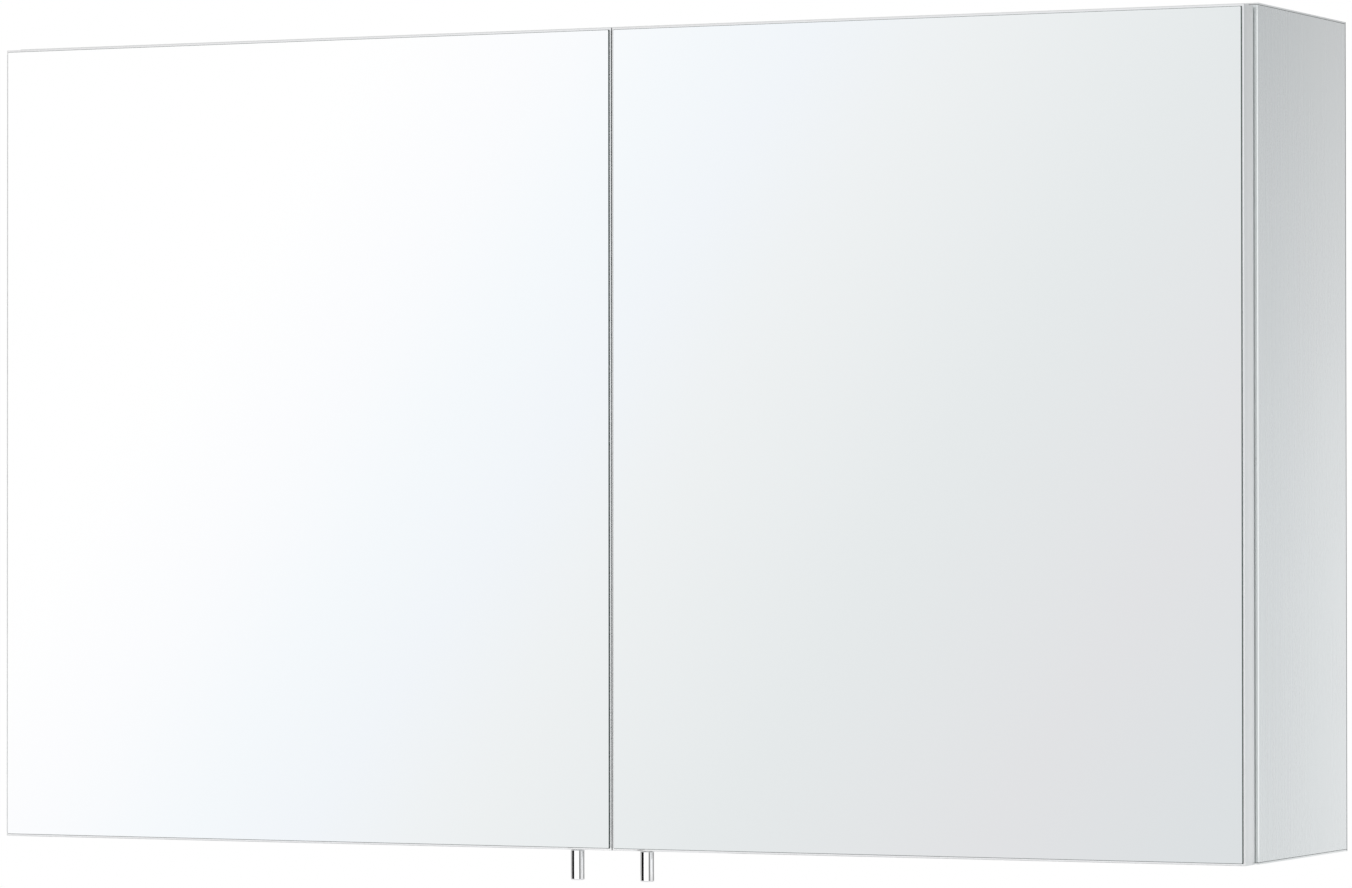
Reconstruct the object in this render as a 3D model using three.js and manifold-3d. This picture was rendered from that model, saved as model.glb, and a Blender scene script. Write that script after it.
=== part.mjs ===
// A wall-hung bathroom cabinet of brushed stainless steel with two mirrored doors.
//
// Millimetres. +Z is up, the doors face -Y, and X runs along the wall. The origin is the centre of
// the back panel's rear face, which lies against the wall. The carcass is built of double-skinned
// panels, each folded from one sheet and open at the rear. Each door is a steel tray that holds a
// honeycomb core, a bonding layer and a sheet of mirror glass, and turns on two concealed hinges
// whose pins lie inside the tray.

import * as THREE from "three";
import { mergeVertices } from "three/addons/utils/BufferGeometryUtils.js";
import Module from "manifold-3d";

const wasm = await Module();
wasm.setup();

// ---- driving dimensions -------------------------------------------------------------------

const FIT = 0.3; // gap left between two pieces that touch
const SHEET = 1.2; // thickness of the folded steel sheet

const CARCASS_WIDTH = 1000;
const CARCASS_HEIGHT = 600;
const CARCASS_DEPTH = 190;
const PANEL_THICKNESS = 16; // of a double-skinned panel
const BEND_RADIUS = 1.5; // outside radius of the carcass folds

const DOOR_PAIR_WIDTH = 996;
const DOOR_TOP_DROP = 2.5; // the doors stop this far below the carcass top
const DOOR_STANDOFF = 2.2; // gap between carcass front and door back
const DOOR_SPLIT_X = 12.2; // the doors meet here: the left one is the wider
const DOOR_SPLIT_GAP = 0.5;
const TRAY_DEPTH = 20.5;
const TRAY_RADIUS = 1.8; // outside radius of the tray's rear folds
const HEM_THICKNESS = 1.4; // of the rim that frames the mirror
const HEM_DEPTH = 8;
const MIRROR_THICKNESS = 4;
const MIRROR_PROUD = 1.3; // the glass stands this far in front of the rim
const MIRROR_ARRIS = 0.4; // ground edge of the glass
const BOND_THICKNESS = 0.7;

const HANDLE_RADIUS = 5.2;
const HANDLE_DROP = 22; // below the door's bottom edge
const HANDLE_MIDDLE_X = 11.4; // halfway between the handles
const HANDLE_OFFSET = 27.95; // from there to each handle's axis
const HANDLE_BEHIND_MIRROR = 3.8; // from the mirror's face back to the handle's axis
const SPIGOT_RADIUS = 1.5;

const HINGE_HEIGHTS = { upper: 215, lower: -215 };
const HINGE_PIVOT = { inward: 7.5, forward: 15 }; // from the door's outer side and the carcass front
const HINGE_PIN_RADIUS = 1.75;
const HINGE_EYE_RADIUS = 3;
const HINGE_ARM_WIDTH = 12;
const HINGE_ARM_SHEET = 3;
const HINGE_PLATE_THICKNESS = 3;

const SHELF_THICKNESS = 6;
const SHELF_BOTTOMS = { lower: -98, upper: 92 };
const SHELF_REAR_Y = -6;
const SHELF_FRONT_Y = -165;
const SHELF_SIDE_GAP = 1.5;
const SHELF_PIN_RADIUS = 3.2;
const SHELF_PIN_STUB_RADIUS = 2.3;
const SHELF_PIN_Y = { rear: -35, front: -140 };
const SHELF_HOLE_PITCH = 32;

// ---- derived places -----------------------------------------------------------------------

const FRONT_Y = -CARCASS_DEPTH;
const PANEL_REAR_Y = -SHEET - FIT; // the folded panels stop short of the back panel
const TOP_Z = CARCASS_HEIGHT / 2;
const SIDE_X = CARCASS_WIDTH / 2;
const SIDE_INNER_X = SIDE_X - PANEL_THICKNESS;
const DIVIDER_MIDDLE_X = 11.5; // close behind the doors' meeting line
const DIVIDER_X = [DIVIDER_MIDDLE_X - PANEL_THICKNESS / 2, DIVIDER_MIDDLE_X + PANEL_THICKNESS / 2];
const DOOR_Z = [-TOP_Z, TOP_Z - DOOR_TOP_DROP];
const TRAY_BACK = DOOR_STANDOFF; // distances forward of the carcass front
const TRAY_FRONT = TRAY_BACK + TRAY_DEPTH;
const MIRROR_FACE = TRAY_FRONT + MIRROR_PROUD;
const MIRROR_BACK = MIRROR_FACE - MIRROR_THICKNESS;
const DOOR_OUTER_X = DOOR_PAIR_WIDTH / 2;
const LINER = DOOR_OUTER_X - SIDE_INNER_X; // the side's inner face, inward of the door's outer side

// ---- materials ----------------------------------------------------------------------------

function finish(color, roughness, metalness) {
  return new THREE.MeshStandardMaterial({ color, roughness, metalness });
}

const FINISHES = {
  brushedSteel: finish(0xc9cdcf, 0.38, 0.9),
  mirror: finish(0xf2f5f6, 0.03, 1),
  glass: finish(0xd6ebe4, 0.05, 0),
  chrome: finish(0xe4e6e8, 0.1, 1),
  nickel: finish(0xb9bab8, 0.3, 0.95),
  plastic: finish(0xdfe1e0, 0.55, 0),
  rubber: finish(0xe9ecec, 0.5, 0),
  bond: finish(0x9aa0a3, 0.8, 0),
  board: finish(0xb79a6b, 0.9, 0),
};

// ---- geometry helpers ---------------------------------------------------------------------

// A box from its lowest and highest corners.
function box([x0, y0, z0], [x1, y1, z1]) {
  const shape = new THREE.BoxGeometry(x1 - x0, y1 - y0, z1 - z0);
  return shape.translate((x0 + x1) / 2, (y0 + y1) / 2, (z0 + z1) / 2);
}

// A cylinder from one point along an axis, "x", "y" or "z".
function rod(axis, [x, y, z], radius, length, segments = 12) {
  const shape = new THREE.CylinderGeometry(radius, radius, length, segments);
  shape.translate(0, length / 2, 0);
  if (axis === "x") shape.rotateZ(-Math.PI / 2);
  if (axis === "z") shape.rotateX(Math.PI / 2);
  return shape.translate(x, y, z);
}

// Outline points with each corner [a, b, radius] rounded by an arc, or cut off flat with one step.
function rounded(corners, steps = 3) {
  const points = [];
  corners.forEach(([a, b, radius = 0], i) => {
    const corner = new THREE.Vector2(a, b);
    if (!radius) {
      points.push(corner);
      return;
    }
    const before = corners[(i + corners.length - 1) % corners.length];
    const after = corners[(i + 1) % corners.length];
    const back = new THREE.Vector2(before[0] - a, before[1] - b).normalize();
    const ahead = new THREE.Vector2(after[0] - a, after[1] - b).normalize();
    const start = corner.clone().addScaledVector(back, radius);
    const end = corner.clone().addScaledVector(ahead, radius);
    const curve = new THREE.QuadraticBezierCurve(start, corner, end);
    points.push(...curve.getPoints(steps));
  });
  return points;
}

// An outline drawn in the plane across an axis and pushed along it: "z" takes (x, y) points, "x"
// takes (y, z) and "y" takes (z, x).
function pushed(axis, points, from, to) {
  const shape = new THREE.ExtrudeGeometry(new THREE.Shape(points), {
    depth: to - from,
    bevelEnabled: false,
  });
  shape.translate(0, 0, from);
  const [ex, ey, ez] = [[1, 0, 0], [0, 1, 0], [0, 0, 1]].map((v) => new THREE.Vector3(...v));
  const turn = new THREE.Matrix4();
  if (axis === "x") turn.makeBasis(ey, ez, ex);
  if (axis === "y") turn.makeBasis(ez, ex, ey);
  return shape.applyMatrix4(turn);
}

function toSolid(geometry) {
  const bare = geometry.clone();
  bare.deleteAttribute("normal");
  bare.deleteAttribute("uv");
  const merged = mergeVertices(bare, 1e-4);
  return new wasm.Manifold(
    new wasm.Mesh({
      numProp: 3,
      vertProperties: merged.attributes.position.array,
      triVerts: new Uint32Array(merged.index.array),
    }),
  );
}

function toGeometry(solid) {
  const mesh = solid.getMesh();
  const shape = new THREE.BufferGeometry();
  shape.setAttribute("position", new THREE.BufferAttribute(mesh.vertProperties, 3));
  shape.setIndex(new THREE.BufferAttribute(mesh.triVerts, 1));
  shape.computeVertexNormals();
  return shape;
}

function joined(...geometries) {
  return toGeometry(geometries.map(toSolid).reduce((all, next) => all.add(next)));
}

function cut(geometry, tools) {
  return toGeometry(tools.map(toSolid).reduce((left, tool) => left.subtract(tool), toSolid(geometry)));
}

// A slab whose front and rear edges are rounded all round. The ranges are of x, y and z.
function slab([x0, x1], [y0, y1], [z0, z1], frontRadius, rearRadius, steps) {
  const across = rounded(
    [[x0, y0, frontRadius], [x1, y0, frontRadius], [x1, y1, rearRadius], [x0, y1, rearRadius]],
    steps,
  );
  const upright = rounded(
    [[y0, z0, frontRadius], [y1, z0, rearRadius], [y1, z1, rearRadius], [y0, z1, frontRadius]],
    steps,
  );
  const standing = toSolid(pushed("z", across, z0, z1));
  return toGeometry(standing.intersect(toSolid(pushed("x", upright, x0, x1))));
}

// The section of a double-skinned panel: two skins joined by a front face, open at the rear.
// place turns (distance inward from the outer skin, y) into the drawing plane's own point.
function panelSection(place) {
  const innerRadius = BEND_RADIUS - SHEET + 0.2;
  const far = PANEL_THICKNESS;
  const corners = [
    [0, PANEL_REAR_Y],
    [0, FRONT_Y, BEND_RADIUS],
    [far, FRONT_Y, BEND_RADIUS],
    [far, PANEL_REAR_Y],
    [far - SHEET, PANEL_REAR_Y],
    [far - SHEET, FRONT_Y + SHEET, innerRadius],
    [SHEET, FRONT_Y + SHEET, innerRadius],
    [SHEET, PANEL_REAR_Y],
  ];
  return rounded(corners.map(([inward, y, radius]) => [...place(inward, y), radius]));
}

const cabinet = new THREE.Group();

function addPiece(name, geometry, material) {
  const piece = new THREE.Mesh(geometry, material);
  piece.name = name;
  cabinet.add(piece);
}

// ---- carcass ------------------------------------------------------------------------------

// Heights of the shelf pins' axes, one for each shelf.
function pinHeight(shelfBottom) {
  return shelfBottom - FIT - SHELF_PIN_RADIUS;
}

// Cutting rods for the shelf pins' holes: two columns, three heights for each shelf.
function shelfHoles(fromX, length) {
  const holes = [];
  for (const y of Object.values(SHELF_PIN_Y))
    for (const bottom of Object.values(SHELF_BOTTOMS))
      for (const step of [-1, 0, 1]) {
        const z = pinHeight(bottom) + step * SHELF_HOLE_PITCH;
        holes.push(rod("x", [fromX, y, z], SHELF_PIN_STUB_RADIUS + FIT, length, 10));
      }
  return holes;
}

function addSidePanel(name, side) {
  const section = panelSection((inward, y) => [side * (SIDE_X - inward), y]);
  const height = TOP_Z - SHEET - FIT;
  const panel = pushed("z", section, -height, height);
  const innerSkin = side * (SIDE_INNER_X + SHEET / 2);
  addPiece(name, cut(panel, shelfHoles(innerSkin - SHEET, 2 * SHEET)), FINISHES.brushedSteel);
}

// The top and bottom panels fit between the sides, and their outer skins run on over the sides.
function addLyingPanel(name, up) {
  const section = panelSection((inward, y) => [y, up * (TOP_Z - inward)]);
  const panel = pushed("x", section.reverse(), -SIDE_X, SIDE_X);
  const between = SIDE_INNER_X - FIT;
  const innerSide = up * (TOP_Z - SHEET);
  const ends = [-1, 1].map((side) => {
    const xs = [side * between, side * (SIDE_X + 1)].sort((a, b) => a - b);
    const zs = [innerSide, innerSide - up * 2 * PANEL_THICKNESS].sort((a, b) => a - b);
    return box([xs[0], FRONT_Y - 1, zs[0]], [xs[1], 1, zs[1]]);
  });
  addPiece(name, cut(panel, ends), FINISHES.brushedSteel);
}

// A divider stands behind the meeting line of the doors.
function addDivider() {
  const setBack = SHEET + FIT;
  const innerHeight = TOP_Z - PANEL_THICKNESS - FIT;
  const section = panelSection((inward, y) => [
    DIVIDER_X[0] + inward,
    y === FRONT_Y || y === FRONT_Y + SHEET ? y + setBack : y,
  ]);
  const panel = pushed("z", section, -innerHeight, innerHeight);
  const holes = shelfHoles(DIVIDER_X[0] - 1, PANEL_THICKNESS + 2);
  addPiece("centre_divider", cut(panel, holes), FINISHES.brushedSteel);
}

// Hanging holes: a wide round hole for the screw's head below a narrow slot for its neck.
const KEYHOLE = { x: 440, z: 246, headRadius: 6, neckRadius: 3, rise: 13 };

function keyholeCutters(side) {
  const x = side * KEYHOLE.x;
  const { z, headRadius, neckRadius, rise } = KEYHOLE;
  const [rear, length] = [-6, 8];
  return [
    rod("y", [x, rear, z], headRadius, length, 16),
    rod("y", [x, rear, z + rise], neckRadius, length, 12),
    box([x - neckRadius, rear, z], [x + neckRadius, rear + length, z + rise]),
  ];
}

function addBackPanel() {
  const sheet = box([-SIDE_X, -SHEET, -TOP_Z], [SIDE_X, 0, TOP_Z]);
  const steadyHoles = [-1, 1].map((side) => rod("y", [side * KEYHOLE.x, -3, -KEYHOLE.z], 2.6, 6));
  const cutters = [...keyholeCutters(-1), ...keyholeCutters(1), ...steadyHoles];
  addPiece("back_panel", cut(sheet, cutters), FINISHES.brushedSteel);
}

// A thicker plate behind each hanging hole carries the cabinet's weight.
function addHangerPlate(name, side) {
  const thickness = 2.5;
  const rear = -SHEET - FIT;
  const x = side * KEYHOLE.x;
  const middle = KEYHOLE.z + KEYHOLE.rise / 2;
  const [halfWidth, halfHeight] = [32, 24];
  const outline = rounded([
    [middle - halfHeight, x - halfWidth, 5],
    [middle + halfHeight, x - halfWidth, 5],
    [middle + halfHeight, x + halfWidth, 5],
    [middle - halfHeight, x + halfWidth, 5],
  ]);
  const plate = pushed("y", outline, rear - thickness, rear);
  addPiece(name, cut(plate, keyholeCutters(side)), FINISHES.nickel);
}

// ---- shelves ------------------------------------------------------------------------------

const BAYS = {
  left: [-SIDE_INNER_X, DIVIDER_X[0]],
  right: [DIVIDER_X[1], SIDE_INNER_X],
};

function addShelf(name, [bayFrom, bayTo], bottom) {
  const [x0, x1] = [bayFrom + SHELF_SIDE_GAP, bayTo - SHELF_SIDE_GAP];
  const corner = 4;
  const outline = rounded([
    [x0, SHELF_FRONT_Y, corner],
    [x1, SHELF_FRONT_Y, corner],
    [x1, SHELF_REAR_Y, corner],
    [x0, SHELF_REAR_Y, corner],
  ]);
  addPiece(name, pushed("z", outline, bottom, bottom + SHELF_THICKNESS), FINISHES.glass);
}

// A turned pin: a stub in the panel's hole, a collar against its skin and a rest for the shelf.
function addShelfPin(name, wallX, direction, y, bottom) {
  const profile = [
    [0, -8],
    [SHELF_PIN_STUB_RADIUS, -8],
    [SHELF_PIN_STUB_RADIUS, FIT],
    [4.4, FIT],
    [4.4, FIT + 1],
    [SHELF_PIN_RADIUS, FIT + 1],
    [SHELF_PIN_RADIUS, 8.4],
    [2.4, 9.2],
    [0, 9.2],
  ].map(([radius, along]) => new THREE.Vector2(radius, along));
  const pin = new THREE.LatheGeometry(profile, 10);
  pin.rotateZ((-direction * Math.PI) / 2);
  pin.translate(wallX, y, pinHeight(bottom));
  addPiece(name, pin, FINISHES.chrome);
}

function addShelfWithPins(bay, height) {
  const bottom = SHELF_BOTTOMS[height];
  const [from, to] = BAYS[bay];
  addShelf(`glass_shelf_${bay}_${height}`, [from, to], bottom);
  const walls = { a: [from, 1], b: [to, -1] };
  for (const [wall, [wallX, direction]] of Object.entries(walls))
    for (const [row, y] of Object.entries(SHELF_PIN_Y))
      addShelfPin(`shelf_pin_${bay}_${height}_${row}_${wall}`, wallX, direction, y, bottom);
}

// ---- doors --------------------------------------------------------------------------------

// Each door is laid out from its outer side: inward along the front, and forward of the carcass.
function doorFrame(side) {
  const freeEdge = DOOR_SPLIT_X + (side * DOOR_SPLIT_GAP) / 2;
  const width = DOOR_OUTER_X - side * freeEdge;
  const x = (inward) => side * (DOOR_OUTER_X - inward);
  const y = (forward) => FRONT_Y - forward;
  const xRange = (a, b) => [x(a), x(b)].sort((p, q) => p - q);
  const block = ([in0, in1], [out0, out1], [z0, z1]) => {
    const [x0, x1] = xRange(in0, in1);
    return box([x0, y(out1), z0], [x1, y(out0), z1]);
  };
  return { side, width, x, y, xRange, block };
}

// Space for the hinge, cleared from the core and the bonding layer.
function hingePockets(door) {
  return Object.values(HINGE_HEIGHTS).map((z) =>
    door.block([0, 34], [TRAY_BACK, TRAY_FRONT], [z - 24, z + 24]),
  );
}

function handlePlace(door) {
  const x = HANDLE_MIDDLE_X + door.side * HANDLE_OFFSET;
  return [x, door.y(MIRROR_FACE - HANDLE_BEHIND_MIRROR)];
}

function addTray(name, door) {
  const { width } = door;
  const shell = slab(
    door.xRange(0, width),
    [door.y(TRAY_FRONT), door.y(TRAY_BACK)],
    DOOR_Z,
    0.6,
    TRAY_RADIUS,
  );
  const inside = (wall, front) =>
    door.block(
      [wall, width - wall],
      [TRAY_BACK + SHEET, front],
      [DOOR_Z[0] + wall, DOOR_Z[1] - wall],
    );
  const armSlots = Object.values(HINGE_HEIGHTS).map((z) =>
    door.block([2.8, 26.5], [TRAY_BACK - 1, TRAY_BACK + SHEET + 1], [z - 7, z + 7]),
  );
  const [handleX, handleY] = handlePlace(door);
  const spigotHole = rod("z", [handleX, handleY, DOOR_Z[0] - 1], SPIGOT_RADIUS + FIT, 4);
  const cutters = [
    inside(SHEET, TRAY_FRONT - HEM_DEPTH),
    inside(HEM_THICKNESS, TRAY_FRONT + 1),
    ...armSlots,
    spigotHole,
  ];
  addPiece(name, cut(shell, cutters), FINISHES.brushedSteel);
}

function addMirror(name, door) {
  const edge = HEM_THICKNESS + FIT;
  const glass = slab(
    door.xRange(edge, door.width - edge),
    [door.y(MIRROR_FACE), door.y(MIRROR_BACK)],
    [DOOR_Z[0] + edge, DOOR_Z[1] - edge],
    MIRROR_ARRIS,
    0,
    1,
  );
  addPiece(name, glass, FINISHES.mirror);
}

// A flat layer inside the tray, from one depth to another, with room left for the hinges.
function addLayer(name, door, [back, front], material) {
  const edge = HEM_THICKNESS + 0.5;
  const heights = [DOOR_Z[0] + edge, DOOR_Z[1] - edge];
  const layer = door.block([edge, door.width - edge], [back, front], heights);
  addPiece(name, cut(layer, hingePockets(door)), material);
}

// The handle is a turned pin with a spigot that sits in the tray's bottom rim.
function addHandle(name, door) {
  const chamfer = 0.7;
  const profile = [
    [0, -HANDLE_DROP],
    [HANDLE_RADIUS - chamfer, -HANDLE_DROP],
    [HANDLE_RADIUS, chamfer - HANDLE_DROP],
    [HANDLE_RADIUS, -FIT],
    [SPIGOT_RADIUS, -FIT],
    [SPIGOT_RADIUS, HEM_THICKNESS],
    [0, HEM_THICKNESS],
  ].map(([radius, along]) => new THREE.Vector2(radius, along));
  const pin = new THREE.LatheGeometry(profile, 32);
  pin.rotateX(Math.PI / 2);
  const [x, y] = handlePlace(door);
  pin.translate(x, y, DOOR_Z[0]);
  addPiece(name, pin, FINISHES.chrome);
}

// Soft buffers on the door's back meet the carcass's top and bottom panels.
function addBuffer(name, door, z) {
  const [inner, outer] = [TRAY_BACK - FIT, 0.4];
  const buffer = rod("y", [door.x(door.width - 14), door.y(inner), z], 4, inner - outer, 12);
  addPiece(name, buffer, FINISHES.rubber);
}

// ---- hinges -------------------------------------------------------------------------------

// The half that is fixed inside the tray: an outer web, two cheeks that carry the pin, and feet.
function addHingeBracket(name, door, z) {
  const sheet = 2;
  const cheekFrom = HINGE_ARM_WIDTH / 2 + FIT;
  const cheekTo = cheekFrom + sheet;
  const [back, front] = [TRAY_BACK + SHEET + FIT, MIRROR_BACK - FIT];
  const webOut = 2.1;
  const web = door.block([webOut, webOut + SHEET], [back, front], [z - cheekTo, z + cheekTo]);
  const parts = [web];
  for (const up of [-1, 1]) {
    const heights = (from, to) => [z + up * from, z + up * to].sort((a, b) => a - b);
    parts.push(door.block([webOut, 13], [back, front], heights(cheekFrom, cheekTo)));
    parts.push(door.block([webOut, 31], [back, back + SHEET], heights(cheekFrom + 0.5, 21)));
  }
  const pivot = [door.x(HINGE_PIVOT.inward), door.y(HINGE_PIVOT.forward), z - cheekTo - 1];
  const bore = rod("z", pivot, HINGE_PIN_RADIUS + FIT, 2 * cheekTo + 2, 14);
  addPiece(name, cut(joined(...parts), [bore]), FINISHES.nickel);
}

function addHingePin(name, door, z) {
  const reach = HINGE_ARM_WIDTH / 2 + FIT + 2;
  const profile = [
    [0, -reach - 1],
    [HINGE_PIN_RADIUS, -reach - 1],
    [HINGE_PIN_RADIUS, reach + FIT],
    [2.8, reach + FIT],
    [2.8, reach + FIT + 0.8],
    [0, reach + FIT + 0.8],
  ].map(([radius, along]) => new THREE.Vector2(radius, along));
  const pin = new THREE.LatheGeometry(profile, 14);
  pin.rotateX(Math.PI / 2);
  pin.translate(door.x(HINGE_PIVOT.inward), door.y(HINGE_PIVOT.forward), z);
  addPiece(name, pin, FINISHES.nickel);
}

// The half that is fixed to the carcass: it runs forward from the mounting plate, passes through
// the slot in the tray, and turns back outward to an eye round the pin.
function addHingeArm(name, door, z) {
  const { inward, forward } = HINGE_PIVOT;
  const half = HINGE_ARM_SHEET / 2;
  const plateTop = LINER + 2 * FIT + HINGE_PLATE_THICKNESS;
  const neck = [22, 25];
  const outline = [
    [plateTop, -58],
    [26, -58, 2],
    [26, -12, 3],
    [neck[1], -7, 3],
    [neck[1], forward + half, 3],
    [inward, forward + half],
    [inward, forward - half],
    [neck[0], forward - half],
    [neck[0], -5],
    [plateTop, -8, 1],
  ];
  const points = rounded(outline.map(([a, b, radius]) => [door.x(a), door.y(b), radius]));
  const [z0, z1] = [z - HINGE_ARM_WIDTH / 2, z + HINGE_ARM_WIDTH / 2];
  const eyeAt = [door.x(inward), door.y(forward)];
  const eye = rod("z", [...eyeAt, z0], HINGE_EYE_RADIUS, HINGE_ARM_WIDTH, 18);
  const bore = rod("z", [...eyeAt, z0 - 1], HINGE_PIN_RADIUS + FIT, HINGE_ARM_WIDTH + 2, 14);
  addPiece(name, cut(joined(pushed("z", points, z0, z1), eye), [bore]), FINISHES.nickel);
}

// A cross-shaped plate on the side's inner skin: a tall wing and a spine under the arm.
function addMountingPlate(name, door, z) {
  const inner = LINER + FIT;
  const xs = door.xRange(inner, inner + HINGE_PLATE_THICKNESS);
  const wing = rounded([
    [door.y(-44), z - 24, 5],
    [door.y(-28), z - 24, 5],
    [door.y(-28), z + 24, 5],
    [door.y(-44), z + 24, 5],
  ]);
  const spine = rounded([
    [door.y(-62), z - 8, 2],
    [door.y(-10), z - 8, 2],
    [door.y(-10), z + 8, 2],
    [door.y(-62), z + 8, 2],
  ]);
  addPiece(name, joined(pushed("x", wing, ...xs), pushed("x", spine, ...xs)), FINISHES.nickel);
}

// A magnet on each side of the divider holds its door shut.
function addMagneticCatch(name, door) {
  const face = door.side > 0 ? DIVIDER_X[1] + FIT : DIVIDER_X[0] - FIT;
  const reach = (from, to) => [face + door.side * from, face + door.side * to].sort((a, b) => a - b);
  const [x0, x1] = reach(0, 13);
  const housing = box([x0, door.y(-1), -22], [x1, door.y(-22), 22]);
  const [n0, n1] = reach(2.5, 10.5);
  const nose = box([n0, door.y(TRAY_BACK - 0.5), -14], [n1, door.y(-4), 14]);
  addPiece(name, joined(housing, nose), FINISHES.plastic);
}

function addDoor(hand, side) {
  const door = doorFrame(side);
  const coreBack = TRAY_BACK + SHEET + FIT;
  const bondFront = MIRROR_BACK - FIT;
  const bondBack = bondFront - BOND_THICKNESS;
  addTray(`${hand}_door_tray`, door);
  addLayer(`${hand}_door_core`, door, [coreBack, bondBack - FIT], FINISHES.board);
  addLayer(`${hand}_mirror_bond`, door, [bondBack, bondFront], FINISHES.bond);
  addMirror(`${hand}_mirror_glass`, door);
  addHandle(`${hand}_handle`, door);
  addBuffer(`${hand}_door_buffer_upper`, door, TOP_Z - 9);
  addBuffer(`${hand}_door_buffer_lower`, door, 9 - TOP_Z);
  addMagneticCatch(`${hand}_magnetic_catch`, door);
  for (const [height, z] of Object.entries(HINGE_HEIGHTS)) {
    addHingeBracket(`${hand}_hinge_bracket_${height}`, door, z);
    addHingePin(`${hand}_hinge_pin_${height}`, door, z);
    addHingeArm(`${hand}_hinge_arm_${height}`, door, z);
    addMountingPlate(`${hand}_hinge_plate_${height}`, door, z);
  }
}

// ---- assembly -----------------------------------------------------------------------------

addSidePanel("left_side_panel", -1);
addSidePanel("right_side_panel", 1);
addLyingPanel("top_panel", 1);
addLyingPanel("bottom_panel", -1);
addBackPanel();
addDivider();
addHangerPlate("left_hanger_plate", -1);
addHangerPlate("right_hanger_plate", 1);
for (const bay of Object.keys(BAYS))
  for (const height of Object.keys(SHELF_BOTTOMS)) addShelfWithPins(bay, height);
addDoor("left", -1);
addDoor("right", 1);

export default cabinet;
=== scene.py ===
"""Looks of the two-door mirror cabinet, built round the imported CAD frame.

Metres, +Z up, doors face -Y, origin at the middle of the back panel's rear face. Folded sheet, trays
and hinge parts are the CAD's own nodes with better materials; mirrors, handles, shelves and pins are
rebuilt here, and screws, rivets and the catches' pole plates are added.
"""

import math

import bpy
from mathutils import Matrix, Vector


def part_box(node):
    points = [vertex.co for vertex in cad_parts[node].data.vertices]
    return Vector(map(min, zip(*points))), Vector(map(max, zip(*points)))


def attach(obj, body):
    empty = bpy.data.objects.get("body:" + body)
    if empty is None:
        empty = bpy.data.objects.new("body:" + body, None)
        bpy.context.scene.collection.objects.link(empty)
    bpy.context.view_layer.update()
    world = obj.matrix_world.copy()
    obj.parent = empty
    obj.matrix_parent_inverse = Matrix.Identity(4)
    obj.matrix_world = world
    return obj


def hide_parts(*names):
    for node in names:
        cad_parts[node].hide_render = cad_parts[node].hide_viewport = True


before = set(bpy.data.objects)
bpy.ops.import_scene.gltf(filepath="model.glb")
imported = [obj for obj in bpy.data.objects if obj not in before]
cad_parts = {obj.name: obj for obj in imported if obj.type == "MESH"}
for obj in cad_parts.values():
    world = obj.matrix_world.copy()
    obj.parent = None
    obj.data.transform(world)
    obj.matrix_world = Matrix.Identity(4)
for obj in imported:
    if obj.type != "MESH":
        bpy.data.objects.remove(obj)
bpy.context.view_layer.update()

HANDS = {"left": -1, "right": 1}
LEVELS = ("upper", "lower")

# ---- camera -------------------------------------------------------------------------------------

CAMERA_AT = (1.9377, -4.2411, -0.0569)
CAMERA_TURN = (24.948, 0.665, 0.046)  # degrees: to the left, upwards, roll
LENS_MM = 163.77
SENSOR_MM = 36.0
CLIP_END = 100


def add_camera():
    data = bpy.data.cameras.new("photo_camera")
    data.lens = LENS_MM
    data.sensor_width = SENSOR_MM
    data.clip_end = CLIP_END
    camera = bpy.data.objects.new("photo_camera", data)
    turn, up, roll = (math.radians(a) for a in CAMERA_TURN)
    aim = Matrix.Rotation(turn, 4, "Z") @ Matrix.Rotation(up, 4, "X") @ Matrix.Rotation(roll, 4, "Y")
    stand = Matrix.Rotation(math.pi / 2, 4, "X")
    camera.matrix_world = Matrix.Translation(CAMERA_AT) @ aim @ stand
    bpy.context.scene.collection.objects.link(camera)
    bpy.context.scene.camera = camera


# ---- node helpers -------------------------------------------------------------------------------


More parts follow.
